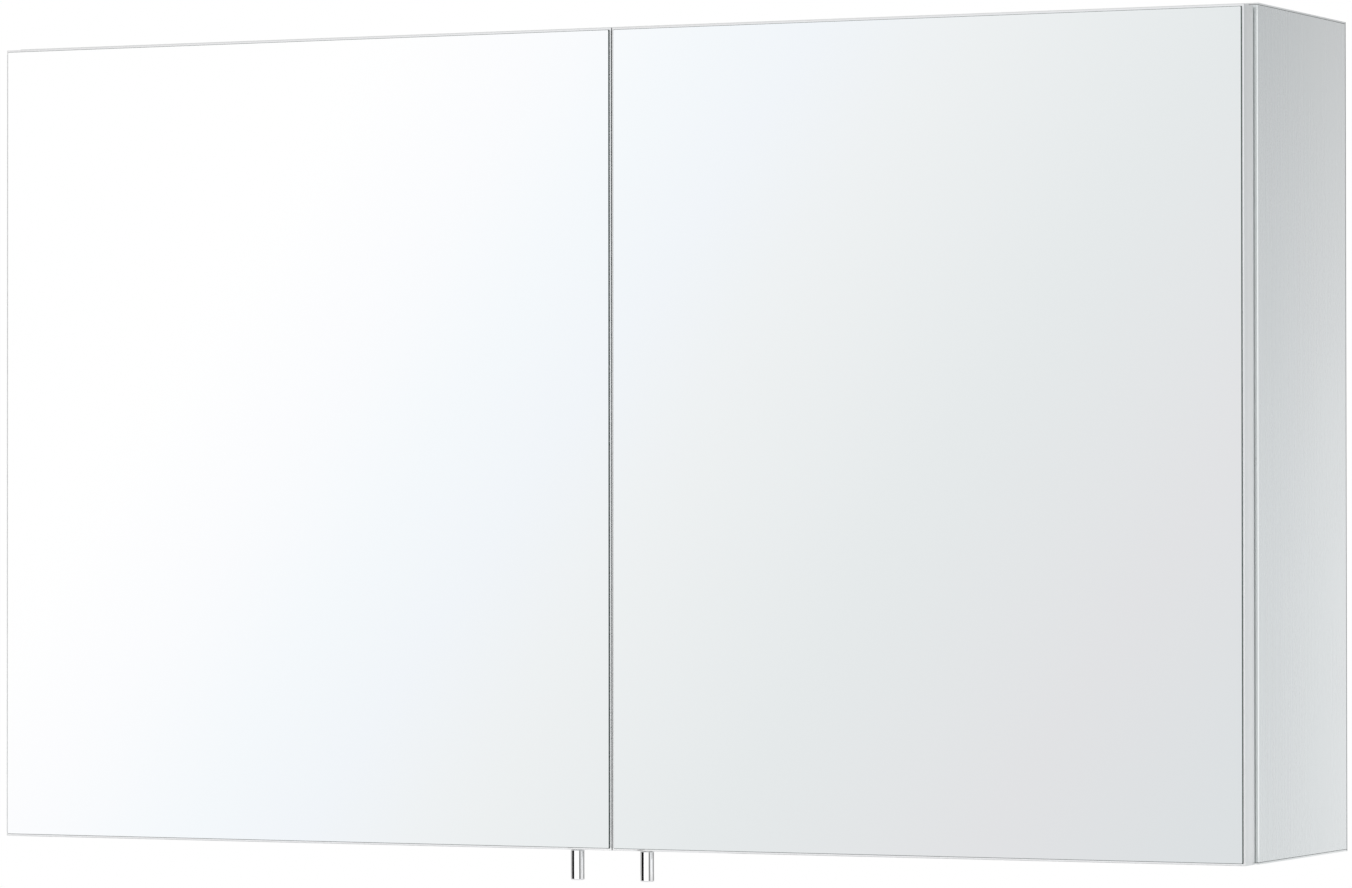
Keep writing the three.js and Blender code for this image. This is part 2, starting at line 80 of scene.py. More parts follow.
class Tree:
    """A node tree with short calls for the nodes used here."""

    def __init__(self, tree):
        self.tree = tree
        tree.nodes.clear()

    def node(self, kind, inputs=None, **settings):
        node = self.tree.nodes.new("ShaderNode" + kind)
        for key, value in settings.items():
            setattr(node, key, value)
        for key, value in (inputs or {}).items():
            self.put(node.inputs[key], value)
        return node

    def put(self, socket, value):
        if isinstance(value, bpy.types.NodeSocket):
            self.tree.links.new(value, socket)
        elif value is not None:
            socket.default_value = value

    def math(self, operation, a, b=None, c=None):
        node = self.node("Math", operation=operation)
        for socket, value in zip(node.inputs, (a, b, c)):
            self.put(socket, value)
        return node.outputs[0]

    def dot(self, a, b):
        node = self.node("VectorMath", operation="DOT_PRODUCT")
        self.put(node.inputs[0], a)
        self.put(node.inputs[1], b)
        return node.outputs["Value"]

    def spread(self, value, low, high, to_low, to_high, smooth=False):
        """value from [low, high] mapped to [to_low, to_high] and held outside it."""
        kind = "SMOOTHSTEP" if smooth else "LINEAR"
        node = self.node("MapRange", clamp=True, interpolation_type=kind)
        for socket, number in zip(node.inputs, (value, low, high, to_low, to_high)):
            self.put(socket, number)
        return node.outputs[0]

    def noise(self, vector, scale, detail=3.0, roughness=0.55):
        node = self.node("TexNoise", {"Scale": scale, "Detail": detail, "Roughness": roughness})
        self.put(node.inputs["Vector"], vector)
        return node.outputs["Fac"]

    def stretched(self, scale=(1, 1, 1)):
        """The row frame's coordinates, scaled along x, y and z."""
        place = self.node("TexCoord").outputs["Object"]
        return self.node("Mapping", {"Vector": place, "Scale": scale}).outputs["Vector"]

    def ramp(self, value, stops):
        node = self.node("ValToRGB", {"Fac": value})
        band = node.color_ramp
        while len(band.elements) < len(stops):
            band.elements.new(0.5)
        for element, (position, tint) in zip(band.elements, stops):
            element.position = position
            element.color = (*tint, 1)
        return node.outputs["Color"]

    def mixed(self, share, a, b):
        node = self.node("Mix", data_type="RGBA")
        for socket, value in ((node.inputs[0], share), (node.inputs[6], a), (node.inputs[7], b)):
            self.put(socket, value)
        return node.outputs[2]

    def bump(self, height, strength, distance):
        inputs = {"Height": height, "Strength": strength, "Distance": distance}
        return self.node("Bump", inputs).outputs["Normal"]


def opaque(*rgb):
    return (*rgb, 1)


def shade(t, shader, share, low, high):
    """Base colour: low where share is 0, high where it is 1."""
    t.put(shader.inputs["Base Color"], t.mixed(share, opaque(*low), opaque(*high)))


def from_screen(value):
    """A screen level of 0 to 255 as a linear number."""
    share = value / 255
    return share / 12.92 if share <= 0.04045 else ((share + 0.055) / 1.055) ** 2.4


def colour(*levels):
    return tuple(from_screen(level) for level in levels)


# ---- studio -------------------------------------------------------------------------------------

MIRROR_TINT = (0.93, 0.945, 0.94)  # what silvered glass sends back
FALL_OFF = Vector((0.7648, -0.3556, -0.5373))  # the light drops from white to pale grey this way
# How far along FALL_OFF, and the levels that a mirror shows there.
LIGHT_STOPS = (
    (-1.0, (255, 255, 255)),
    (-0.081, (255, 255, 255)),
    (-0.06, (251, 252, 254)),
    (-0.042, (245, 249, 252)),
    (-0.023, (241, 245, 249)),
    (-0.004, (238, 241, 242)),
    (0.034, (229, 233, 234)),
    (0.072, (225, 226, 228)),
    (0.1, (220, 224, 226)),
    (0.2, (216, 220, 222)),
    (0.35, (214, 218, 220)),
    (0.6, (222, 225, 226)),
    (1.0, (232, 234, 235)),
)
MIRRORED = Vector((-0.4216, -0.9068, 0.0067))  # where the doors send the photograph's view
MIRRORED_CONE = (8.3, 12.0)  # degrees: the light is as above inside, and as below outside
# The light round the cabinet: degrees from -Y towards +X, and gain.
ROUND_LIGHT = (
    (-180, 0.9),
    (-160, 0.9),
    (-145, 0.8),
    (-100, 0.8),
    (-62, 0.85),
    (-54, 0.68),
    (-34, 0.68),
    (-17, 0.8),
    (-5, 1.4),
    (5, 0.8),
    (28, 0.8),
    (45, 0.88),
    (60, 1.25),
    (90, 1.25),
    (125, 1.09),
    (180, 1.03),
)
TOP_GAIN = 2.0
# A dark flag hangs behind the cabinet on the right: gain by the ray's z, and how far the flag
# counts in each direction, in degrees as above.
FLAG_HEIGHT = ((-1.0, 1.0), (0.0, 1.0), (0.14, 0.46), (0.3, 0.46), (0.6, 1.0), (1.0, 1.0))
FLAG_ROUND = ((-180, 0), (116, 0), (138, 1), (172, 1), (180, 0))


def make_world():
    world = bpy.data.worlds.new("studio")
    world.use_nodes = True
    bpy.context.scene.world = world
    t = Tree(world.node_tree)
    ray = t.node("TexCoord").outputs["Generated"]
    along = t.dot(ray, FALL_OFF)
    low, high = LIGHT_STOPS[0][0], LIGHT_STOPS[-1][0]
    stops = [
        ((at - low) / (high - low), [c / m for c, m in zip(colour(*levels), MIRROR_TINT)])
        for at, levels in LIGHT_STOPS
    ]
    light = t.ramp(t.spread(along, low, high, 0, 1), stops)
    axes = t.node("SeparateXYZ", {0: ray})
    x, y, z = axes.outputs
    angle = t.math("ARCTAN2", x, t.math("MULTIPLY", y, -1.0))
    turn = t.math("MULTIPLY_ADD", angle, 0.5 / math.pi, 0.5)
    around = t.ramp(turn, [(at / 360 + 0.5, [gain / TOP_GAIN] * 3) for at, gain in ROUND_LIGHT])
    height = t.ramp(t.spread(z, -1, 1, 0, 1), [((at + 1) / 2, [gain] * 3) for at, gain in FLAG_HEIGHT])
    flagged = t.ramp(turn, [(at / 360 + 0.5, [share] * 3) for at, share in FLAG_ROUND])
    flag = t.mixed(flagged, (1, 1, 1, 1), height)
    outside = t.math("MULTIPLY", t.math("MULTIPLY", around, TOP_GAIN), flag)
    inner, outer = (math.cos(math.radians(a)) for a in MIRRORED_CONE)
    cone = t.spread(t.dot(ray, MIRRORED), outer, inner, 0, 1, True)
    gain = t.math("MULTIPLY_ADD", t.math("SUBTRACT", 1.0, outside), cone, outside)
    studio = t.node("Background", {"Color": light, "Strength": gain})
    paper = t.node("Background", {"Color": (1, 1, 1, 1)})
    seen = t.node("LightPath").outputs["Is Camera Ray"]
    choice = t.node("MixShader", {0: seen, 1: studio.outputs[0], 2: paper.outputs[0]})
    t.node("OutputWorld", {"Surface": choice.outputs[0]})
    bpy.context.scene.view_settings.view_transform = "Standard"
    bpy.context.scene.view_settings.look = "None"


FLOOR_Z = -1.3
FLOOR_RADIUS = 13.5
FLOOR_STEPS = 96
FLOOR_FADE = (2.5, FLOOR_RADIUS * 0.97)  # it turns from paper to white between these distances
FLOOR_PAPER = (0.76, 0.765, 0.77)


def add_floor():
    """A pale round floor that fades into the white paper at its edge, and can't be seen from below."""
    turns = [2 * math.pi * i / FLOOR_STEPS for i in range(FLOOR_STEPS)]
    ring = [(FLOOR_RADIUS * math.cos(a), FLOOR_RADIUS * math.sin(a), FLOOR_Z) for a in turns]
    mesh = bpy.data.meshes.new("floor")
    mesh.from_pydata(ring, [], [range(FLOOR_STEPS)])
    material = bpy.data.materials.new("floor_paper")
    material.use_nodes = True
    t = Tree(material.node_tree)
    place = t.node("TexCoord").outputs["Object"]
    away = t.node("VectorMath", {0: place}, operation="LENGTH").outputs["Value"]
    grain = t.noise(place, 40)
    paper = t.node("BsdfPrincipled", {"Base Color": opaque(*FLOOR_PAPER), "Roughness": 0.75})
    t.put(paper.inputs["Normal"], t.bump(grain, 0.05, 0.002))
    white = t.node("Emission", {"Color": (1, 1, 1, 1)})
    fade = t.spread(away, *FLOOR_FADE, 0, 1, True)
    top = t.node("MixShader", {0: fade, 1: paper.outputs[0], 2: white.outputs[0]})
    clear = t.node("BsdfTransparent")
    under = t.node("NewGeometry").outputs["Backfacing"]
    one_sided = t.node("MixShader", {0: under, 1: top.outputs[0], 2: clear.outputs[0]})
    t.node("OutputMaterial", {"Surface": one_sided.outputs[0]})
    mesh.materials.append(material)
    floor = bpy.data.objects.new("floor", mesh)
    bpy.context.scene.collection.objects.link(floor)


LAMP_AT = Vector((-2.2, -2.8, 2.4))
LAMP_SIZE = (2.6, 2.0)
LAMP_WATTS = 60


def add_soft_light():
    """A wide lamp from the upper left. Only matt things see it, so no mirror shows its outline."""
    lamp = bpy.data.lights.new("soft_light", "AREA")
    lamp.shape = "RECTANGLE"
    lamp.size, lamp.size_y = LAMP_SIZE
    lamp.energy = LAMP_WATTS
    light = bpy.data.objects.new("soft_light", lamp)
    aim = (-LAMP_AT).to_track_quat("-Z", "Y").to_matrix().to_4x4()
    light.matrix_world = Matrix.Translation(LAMP_AT) @ aim
    light.visible_glossy = False
    light.visible_camera = False
    bpy.context.scene.collection.objects.link(light)


# Small curved cards round the handles and along three edges. Each shows only to rays as long as those
# that its own line sends to it, so it lights nothing else. Level, and angles from -Y.
HANDLE_CARDS = (
    ("dim", 0.5, -124, -76),
    ("black", 0.0, -74, -31.5),
    ("white", 1.15, -27.5, 43),
    ("grey", 0.3, 45.5, 71.5),
    ("mid", 0.36, 117, 154),
)
CARD_DISTANCE = 0.045  # from a handle's axis, or from an edge
CARD_DROP = (-0.003, 0.045)  # the handles' cards reach from here to here below the doors
CARD_STEPS = 12
CLEAR_OF_HANDLES = 0.08  # the lower edge's cards leave this much free on each side of the split
# Ray lengths that a card shows to: shares of a handle's radius off CARD_DISTANCE, and metres off it.
HANDLE_REACH = (-1.05, -0.4)
LEFT_REACH = (-0.002, 0.001)
LOWER_REACH = (0.0, 0.0072)
FOLD_REACH = (-0.003, 0.001)
RIGHT, UP, DOWN = Vector((1, 0, 0)), Vector((0, 0, 1)), Vector((0, 0, -1))


def add_card(name, level, start, end, turn_to, degrees, reach):
    """A strip bent round the line from start to end. Angles turn from -Y towards turn_to.

    reach is how far its shortest and longest rays are from CARD_DISTANCE.
    """
    verts = []
    for i in range(CARD_STEPS + 1):
        angle = math.radians(degrees[0] + (degrees[1] - degrees[0]) * i / CARD_STEPS)
        away = CARD_DISTANCE * (math.sin(angle) * turn_to + Vector((0, -math.cos(angle), 0)))
        verts += [start + away, end + away]
    faces = [(2 * i, 2 * i + 1, 2 * i + 3, 2 * i + 2) for i in range(CARD_STEPS)]
    mesh = bpy.data.meshes.new(name)
    mesh.from_pydata(verts, [], faces)
    mesh.materials.append(card_material(name, level, [CARD_DISTANCE + step for step in reach]))
    card = bpy.data.objects.new(name, mesh)
    card.visible_camera = card.visible_diffuse = card.visible_shadow = False
    card.visible_transmission = False
    bpy.context.scene.collection.objects.link(card)


def add_handle_cards():
    for hand in HANDS:
        (x0, y0, _), (x1, y1, _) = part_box(f"{hand}_handle")
        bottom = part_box(f"{hand}_door_tray")[0].z
        middle, radius = Vector(((x0 + x1) / 2, (y0 + y1) / 2, bottom)), (x1 - x0) / 2
        start, end = (middle + drop * DOWN for drop in CARD_DROP)
        reach = [share * radius for share in HANDLE_REACH]
        for name, level, *degrees in HANDLE_CARDS:
            add_card(f"{hand}_card_{name}", level, start, end, RIGHT, degrees, reach)


def add_edge_cards():
    """Dark cards draw the doors' left and lower outlines, and a pale one the carcass's front fold."""
    low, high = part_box("left_door_tray")
    corner = Vector((low.x, low.y, low.z))
    add_card("card_left", 0.0, corner, corner + (high.z - low.z) * UP, RIGHT, (-150, -50), LEFT_REACH)
    split, far = high.x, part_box("right_door_tray")[1].x
    spans = (("left", low.x, split - CLEAR_OF_HANDLES), ("right", split + CLEAR_OF_HANDLES, far))
    for name, x0, x1 in spans:
        start, end = Vector((x0, low.y, low.z)), Vector((x1, low.y, low.z))
        add_card(f"card_lower_{name}", 0.0, start, end, DOWN, (30, 95), LOWER_REACH)
    low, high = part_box("right_side_panel")
    corner = Vector((high.x, low.y, low.z))
    add_card("card_fold", 1.3, corner, corner + (high.z - low.z) * UP, RIGHT, (15, 110), FOLD_REACH)


def card_material(name, level, lengths):
    """A plain glow for rays between two lengths, and nothing for others or for the mirrors' rays."""
    material = bpy.data.materials.new(name)
    material.use_nodes = True
    t = Tree(material.node_tree)
    glow = t.node("Emission", {"Color": opaque(level, level, level)})
    clear = t.node("BsdfTransparent")
    path = t.node("LightPath")
    far = t.math("GREATER_THAN", path.outputs["Ray Length"], lengths[0])
    near = t.math("LESS_THAN", path.outputs["Ray Length"], lengths[1])
    rough = t.math("SUBTRACT", 1.0, path.outputs["Is Singular Ray"])
    shown = t.math("MULTIPLY", t.math("MULTIPLY", far, near), rough)
    choice = t.node("MixShader", {0: shown, 1: clear.outputs[0], 2: glow.outputs[0]})
    t.node("OutputMaterial", {"Surface": choice.outputs[0]})
    return material


# ---- materials ----------------------------------------------------------------------------------

made = {}


def surface(name):
    """A new material's tree and main shader."""
    material = bpy.data.materials.new(name)
    material.use_nodes = True
    t = Tree(material.node_tree)
    shader = t.node("BsdfPrincipled")
    t.node("OutputMaterial", {"Surface": shader.outputs[0]})
    made[name] = material
    return t, shader


FINE_STREAKS = (1500.0, 1.2)  # changes in a metre across the grain, and along it
BROAD_STREAKS = (170.0, 0.4)


def streaked(t, axis, counts, detail, roughness):
    across, lengthwise = counts
    scale = [across] * 3
    scale["xyz".index(axis)] = lengthwise
    return t.noise(t.stretched(scale), 1.0, detail, roughness)


def brushed_steel(name, along, pale, dark, roughness=0.3, front=None, rim=None):
    """Sheet with a fine grain along one axis: streaks in colour, gloss and height.

    front is the colour of faces towards -Y, and rim of those that face neither way along Y.
    """
    t, shader = surface(name)
    streaks = streaked(t, along, FINE_STREAKS, 4.0, 0.6)
    bands = streaked(t, along, BROAD_STREAKS, 3.0, 0.5)
    clouds = t.noise(t.stretched(), 5.0, 2.0)
    grain = t.math("MULTIPLY_ADD", bands, 0.45, t.math("MULTIPLY", streaks, 0.55))
    share = t.spread(grain, 0.34, 0.66, 0, 1)
    tone = t.mixed(share, opaque(*dark), opaque(*pale))
    to_object = {"vector_type": "NORMAL", "convert_from": "WORLD", "convert_to": "OBJECT"}
    flat = t.node("NewGeometry").outputs["True Normal"]
    own = t.node("VectorTransform", {0: flat}, **to_object).outputs[0]
    normal_y = t.node("SeparateXYZ", {0: own}).outputs[1]
    # Faces towards -Y take the front colour, which paints a highlight on them.
    if front:
        tone = t.mixed(t.spread(normal_y, -0.9, -0.6, 1, 0), tone, opaque(*front))
    # Faces across Y take the rim colour, which darkens them: partly the sheet's own cut edge, partly a
    # painted shadow line.
    if rim:
        tone = t.mixed(t.spread(t.math("ABSOLUTE", normal_y), 0.5, 0.8, 1, 0), tone, opaque(*rim))
    t.put(shader.inputs["Base Color"], tone)
    shader.inputs["Metallic"].default_value = 1.0
    shader.inputs["Anisotropic"].default_value = 0.7
    gloss = t.math("MULTIPLY_ADD", t.math("SUBTRACT", grain, 0.5), 0.14, roughness)
    gloss = t.math("MULTIPLY_ADD", t.math("SUBTRACT", clouds, 0.5), 0.08, gloss)
    t.put(shader.inputs["Roughness"], gloss)
    t.put(shader.inputs["Normal"], t.bump(streaks, 0.12, 0.00004))
    tangent = t.node("Tangent", direction_type="RADIAL", axis=along.upper())
    t.put(shader.inputs["Tangent"], tangent.outputs[0])


def mirror_silver():
    t, shader = surface("mirror_silver")
    haze = t.noise(t.stretched(), 3.0, 4.0)
    dust = t.noise(t.stretched(), 420.0, 2.0)
    low, high = ([c * gain for c in MIRROR_TINT] for gain in (0.997, 1.003))
    clean = t.mixed(haze, opaque(*low), opaque(*high))
    speck = opaque(*[c * 0.985 for c in MIRROR_TINT])
    t.put(shader.inputs["Base Color"], t.mixed(t.spread(dust, 0.7, 0.8, 0, 1), clean, speck))
    shader.inputs["Metallic"].default_value = 1.0
    shader.inputs["Roughness"].default_value = 0.0


def mirror_arris():
    t, shader = surface("mirror_arris")
    rub = t.noise(t.stretched(), 900.0, 3.0)
    # The arris's dark colour is partly ground glass and partly painted shade for the shaded gap
    # between the glass and the tray's rim.
    shade(t, shader, rub, (0.05, 0.07, 0.065), (0.12, 0.15, 0.14))
    t.put(shader.inputs["Roughness"], t.spread(rub, 0.3, 0.7, 0.22, 0.5))
    t.put(shader.inputs["Normal"], t.bump(rub, 0.2, 0.00003))


def mirror_edge():
    t, shader = surface("mirror_edge")
    lines = t.noise(t.stretched((600, 600, 600)), 1.0, 3.0)
    # The edge's dark colour is partly the glass's own green and partly painted shade for the same gap.
    shade(t, shader, lines, (0.02, 0.045, 0.04), (0.07, 0.12, 0.105))
    t.put(shader.inputs["Roughness"], t.spread(lines, 0.3, 0.7, 0.15, 0.4))


def mirror_back_paint():
    t, shader = surface("mirror_back_paint")
    roll = t.noise(t.stretched(), 260.0, 2.0)
    shade(t, shader, roll, (0.2, 0.22, 0.23), (0.27, 0.29, 0.3))
    t.put(shader.inputs["Roughness"], t.spread(roll, 0.3, 0.7, 0.45, 0.65))
    t.put(shader.inputs["Normal"], t.bump(roll, 0.2, 0.0001))


def chrome(name, tint=(0.93, 0.935, 0.94)):
    t, shader = surface(name)
    wipe = t.noise(t.stretched((1, 1, 0.15)), 700.0, 3.0)
    film = t.noise(t.stretched(), 60.0, 3.0)
    dulled = [c * 0.97 for c in tint]
    shade(t, shader, t.spread(film, 0.35, 0.7, 0, 1), dulled, tint)
    shader.inputs["Metallic"].default_value = 1.0
    t.put(shader.inputs["Roughness"], t.math("MULTIPLY_ADD", wipe, 0.06, 0.02))
    t.put(shader.inputs["Normal"], t.bump(wipe, 0.02, 0.00002))


def nickel(name, low=(0.52, 0.515, 0.5), high=(0.68, 0.675, 0.66)):
    t, shader = surface(name)
    grain = t.noise(t.stretched(), 800.0, 4.0, 0.65)
    cloud = t.noise(t.stretched(), 55.0, 3.0)
    share = t.math("MULTIPLY_ADD", grain, 0.5, t.math("MULTIPLY", cloud, 0.5))
    shade(t, shader, t.spread(share, 0.35, 0.65, 0, 1), low, high)
    shader.inputs["Metallic"].default_value = 1.0
    t.put(shader.inputs["Roughness"], t.spread(share, 0.3, 0.7, 0.2, 0.36))
    t.put(shader.inputs["Normal"], t.bump(grain, 0.08, 0.00004))


def galvanised():
    t, shader = surface("zinc_spangle")
    flakes = t.node("TexVoronoi", {"Vector": t.stretched(), "Scale": 260.0})
    tone = t.node("SeparateColor", {0: flakes.outputs["Color"]}).outputs[0]
    shade(t, shader, tone, (0.42, 0.44, 0.46), (0.66, 0.68, 0.7))
    shader.inputs["Metallic"].default_value = 0.9
    t.put(shader.inputs["Roughness"], t.spread(tone, 0, 1, 0.32, 0.5))
    t.put(shader.inputs["Normal"], t.bump(tone, 0.05, 0.0001))


def moulded(name, low, high, roughness, subsurface=0.0):
    """Plastic or rubber with a fine spark-eroded grain."""
    t, shader = surface(name)
    grain = t.noise(t.stretched(), 1600.0, 2.0)
    cloud = t.noise(t.stretched(), 40.0, 2.0)
    shade(t, shader, cloud, low, high)
    t.put(shader.inputs["Roughness"], t.spread(grain, 0.3, 0.7, roughness - 0.06, roughness + 0.08))
    t.put(shader.inputs["Normal"], t.bump(grain, 0.25, 0.00004))
    if subsurface:
        shader.inputs["Subsurface Weight"].default_value = subsurface
        shader.inputs["Subsurface Scale"].default_value = 0.002


def shelf_clear():
    t, shader = surface("shelf_clear")
    smear = t.noise(t.stretched(), 12.0, 4.0)
    shade(t, shader, smear, (0.955, 0.985, 0.972), (0.975, 0.995, 0.986))
    t.put(shader.inputs["Roughness"], t.spread(smear, 0.45, 0.75, 0.0, 0.04))
    shader.inputs["Transmission Weight"].default_value = 1.0
    shader.inputs["IOR"].default_value = 1.5


def shelf_edge():
    t, shader = surface("shelf_edge")
    grind = t.noise(t.stretched((300, 300, 1200)), 1.0, 3.0)
    shade(t, shader, grind, (0.2, 0.5, 0.42), (0.36, 0.68, 0.58))
    t.put(shader.inputs["Roughness"], t.spread(grind, 0.3, 0.7, 0.08, 0.22))
    shader.inputs["Transmission Weight"].default_value = 0.35
    shader.inputs["IOR"].default_value = 1.5


def bond_foam():
    t, shader = surface("bond_foam")
    cells = t.noise(t.stretched(), 900.0, 3.0)
    shade(t, shader, cells, (0.25, 0.27, 0.28), (0.38, 0.4, 0.41))
    t.put(shader.inputs["Roughness"], t.spread(cells, 0.3, 0.7, 0.7, 0.9))
    t.put(shader.inputs["Normal"], t.bump(cells, 0.5, 0.0002))


def kraft_board():
    t, shader = surface("kraft_board")
    fibres = t.noise(t.stretched((300, 900, 900)), 1.0, 4.0)
    shade(t, shader, fibres, (0.36, 0.25, 0.14), (0.52, 0.39, 0.24))
    t.put(shader.inputs["Roughness"], t.spread(fibres, 0.3, 0.7, 0.8, 0.95))
    t.put(shader.inputs["Normal"], t.bump(fibres, 0.4, 0.0002))


def make_materials():
    pale, dark = (0.779, 0.806, 0.802), (0.738, 0.764, 0.76)
    brushed_steel("steel_upright", "z", pale, dark, 0.27)
    brushed_steel("steel_lying", "x", pale, dark)
    cut_edge_and_shadow, lip_highlight = (0.3, 0.31, 0.31), (0.97, 0.975, 0.975)
    # The back panel's side edges are darkened: partly the dull cut edge, partly a painted shadow line
    # at the rear corner.
    brushed_steel("steel_back", "z", (0.74, 0.75, 0.755), (0.66, 0.67, 0.675), 0.42, rim=cut_edge_and_shadow)
    # The door trays' front faces are brightened: a painted highlight on their lips.
    brushed_steel("steel_door", "z", (0.78, 0.798, 0.796), (0.74, 0.758, 0.756), 0.3, front=lip_highlight)
    mirror_silver()
    mirror_arris()
    mirror_edge()
    mirror_back_paint()
    chrome("chrome_handle")
    chrome("chrome_pin", (0.88, 0.885, 0.89))
    nickel("nickel_hinge")
    nickel("screw_steel", (0.6, 0.6, 0.6), (0.78, 0.78, 0.78))
    galvanised()
    moulded("plastic_white", (0.76, 0.765, 0.76), (0.82, 0.825, 0.82), 0.42)
    moulded("rubber_clear", (0.72, 0.74, 0.74), (0.8, 0.815, 0.81), 0.5, subsurface=0.3)
    shelf_clear()
    shelf_edge()
    bond_foam()
    kraft_board()


# ---- CAD nodes ----------------------------------------------------------------------------------

NODE_FINISH = (
    ("side_panel", "steel_upright"),
    ("divider", "steel_upright"),
    ("top_panel", "steel_lying"),
    ("bottom_panel", "steel_lying"),
    ("back_panel", "steel_back"),
    ("door_tray", "steel_door"),
    ("door_core", "kraft_board"),
    ("mirror_bond", "bond_foam"),
    ("hanger_plate", "zinc_spangle"),
    ("hinge_", "nickel_hinge"),
    ("catch", "plastic_white"),
    ("buffer", "rubber_clear"),
)
SHARP_ANGLE = math.radians(32)


def smoothing_group():
    """A modifier's node group: joins the facets' corners and shades folds as smooth curves."""
    group = bpy.data.node_groups.new("smooth_folds", "GeometryNodeTree")
    group.interface.new_socket("Geometry", in_out="INPUT", socket_type="NodeSocketGeometry")
    group.interface.new_socket("Geometry", in_out="OUTPUT", socket_type="NodeSocketGeometry")
    add, link = group.nodes.new, group.links.new
    start, end = add("NodeGroupInput"), add("NodeGroupOutput")
    drop = add("GeometryNodeRemoveAttribute")
    drop.inputs["Name"].default_value = "custom_normal"
    weld = add("GeometryNodeMergeByDistance")
    weld.inputs["Distance"].default_value = 0.000005
    faces, edges = add("GeometryNodeSetShadeSmooth"), add("GeometryNodeSetShadeSmooth")
    faces.domain, edges.domain = "FACE", "EDGE"
    angle, gentle = add("GeometryNodeInputMeshEdgeAngle"), add("FunctionNodeCompare")
    gentle.operation = "LESS_THAN"
    gentle.inputs[1].default_value = SHARP_ANGLE
    link(start.outputs[0], drop.inputs["Geometry"])
    link(drop.outputs[0], weld.inputs["Geometry"])
    link(weld.outputs[0], faces.inputs["Geometry"])
    link(faces.outputs[0], edges.inputs["Geometry"])
    link(angle.outputs["Unsigned Angle"], gentle.inputs[0])
    link(gentle.outputs[0], edges.inputs["Shade Smooth"])
    link(edges.outputs[0], end.inputs[0])
    return group


def dress_nodes():
    group = smoothing_group()
    for name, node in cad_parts.items():
        finish = next((f for key, f in NODE_FINISH if key in name), None)
        if finish is None:
            continue
        node.data.materials.clear()
        node.data.materials.append(made[finish])
        node.modifiers.new("smooth_folds", "NODES").node_group = group


# ---- mesh helpers -------------------------------------------------------------------------------


def add_piece(name, mesh, materials, body, at=None):
    """A finished piece that rides on a CAD body."""
    if not mesh.materials:
        for material in materials:
            mesh.materials.append(made[material])
    piece = bpy.data.objects.new(name, mesh)
    if at is not None:
        piece.matrix_world = at
    bpy.context.scene.collection.objects.link(piece)
    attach(piece, body)
    return piece


def stacked(name, loops, kinds=None, smooth=True, sharp=28):
    """A closed skin through equal loops of points, capped at both ends.

    kinds gives the material index of the first cap, each band and the last cap.
    """
    count = len(loops[0])
    verts = [point for loop in loops for point in loop]
    faces, index = [], []
    for band in range(len(loops) - 1):
        a, b = band * count, (band + 1) * count
        for i in range(count):
            j = (i + 1) % count
            faces.append((a + i, a + j, b + j, b + i))
            index.append(kinds[band + 1] if kinds else 0)
    top = (len(loops) - 1) * count
    faces += [tuple(reversed(range(count))), tuple(range(top, top + count))]
    index += [kinds[0], kinds[-1]] if kinds else [0, 0]
    mesh = bpy.data.meshes.new(name)
    mesh.from_pydata(verts, [], faces)
    mesh.polygons.foreach_set("material_index", index)
    mesh.polygons.foreach_set("use_smooth", [smooth] * len(faces))
    if smooth:
        mesh.set_sharp_from_angle(angle=math.radians(sharp))
    mesh.update()
    return mesh


def filleted(corners, steps=4):
    """A line through corners [a, b, radius] with each radius drawn as an arc of short steps."""
    points = []
    for i, (a, b, radius) in enumerate(corners):
        corner = Vector((a, b))
        if not radius:
            points.append(corner)
            continue
        before, after = Vector(corners[i - 1][:2]), Vector(corners[(i + 1) % len(corners)][:2])
        back, ahead = (before - corner).normalized(), (after - corner).normalized()
        start, end = corner + back * radius, corner + ahead * radius
        for step in range(steps + 1):
            s = step / steps
            points.append(start * (1 - s) ** 2 + corner * 2 * s * (1 - s) + end * s * s)
    return points


def turned(name, profile, count=64, sharp=28):
    """A skin of revolution about +Z from (radius, height, fillet) corners, bottom to top."""
    line = filleted(profile)
    loops = []
    for radius, height in line:
        ring = [2 * math.pi * i / count for i in range(count)]
        loops.append([(radius * math.cos(a), radius * math.sin(a), height) for a in ring])
    return stacked(name, loops, sharp=sharp)


def facing(direction, at):
    """A matrix that carries +Z to a direction and the origin to a point."""
    return Matrix.Translation(at) @ Vector(direction).to_track_quat("Z", "Y").to_matrix().to_4x4()


def plate_loops(x0, x1, z0, z1, y, inset, corner=0.001, steps=4):
    """A rounded rectangle across Y."""
    corner = max(corner - inset, 0.0001)
    xs, zs = (x0 + inset, x1 - inset), (z0 + inset, z1 - inset)
    order = ((0, 0), (1, 0), (1, 1), (0, 1))
    corners = [(xs[i], zs[j], corner) for i, j in order]
    return [(x, y, z) for x, z in filleted(corners, steps)]


# ---- mirrors, handles, shelves and pins ---------------------------------------------------------

ARRIS = 0.0003
MIRROR_SEAT = 0.0002  # the glass fills most of the CAD's gap to the rim
MIRROR_BANDS = (0, 1, 1, 2, 3)  # front, two bands of arris, edge, back


